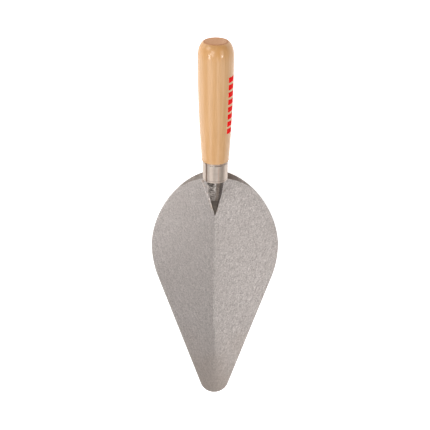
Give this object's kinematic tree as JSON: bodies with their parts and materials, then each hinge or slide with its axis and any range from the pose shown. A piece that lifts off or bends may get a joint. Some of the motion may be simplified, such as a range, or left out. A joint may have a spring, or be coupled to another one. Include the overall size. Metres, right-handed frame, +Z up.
{
  "type": "brick trowel",
  "caption": "Pointed teardrop trowel with a ground steel blade, a dark forged swan neck, a steel ferrule and a turned, lacquered wooden handle with a flat butt.",
  "frame": {"origin": "Bottom centre of the bounding box, in the plane of the blade's flat underside.", "axes": "+Y from the blade's tip towards the handle's butt, +Z up out of the blade's ground face, X across the blade."},
  "size_m": [0.1196, 0.3526, 0.0772],
  "materials": {
    "ground_steel": "belt-ground, grey, satin",
    "forged_steel": "black forging scale, rough",
    "weld_steel": "ground weld with a faint heat tint",
    "plated_steel": "nickel plated, satin to bright",
    "lacquered_wood": "turned hardwood under clear lacquer"
  },
  "bodies": {
    "root": {"blade": "ground_steel", "shank": "forged_steel", "weld_left": "weld_steel", "weld_right": "weld_steel", "ferrule": "plated_steel", "handle": "lacquered_wood"}
  },
  "joints": []
}
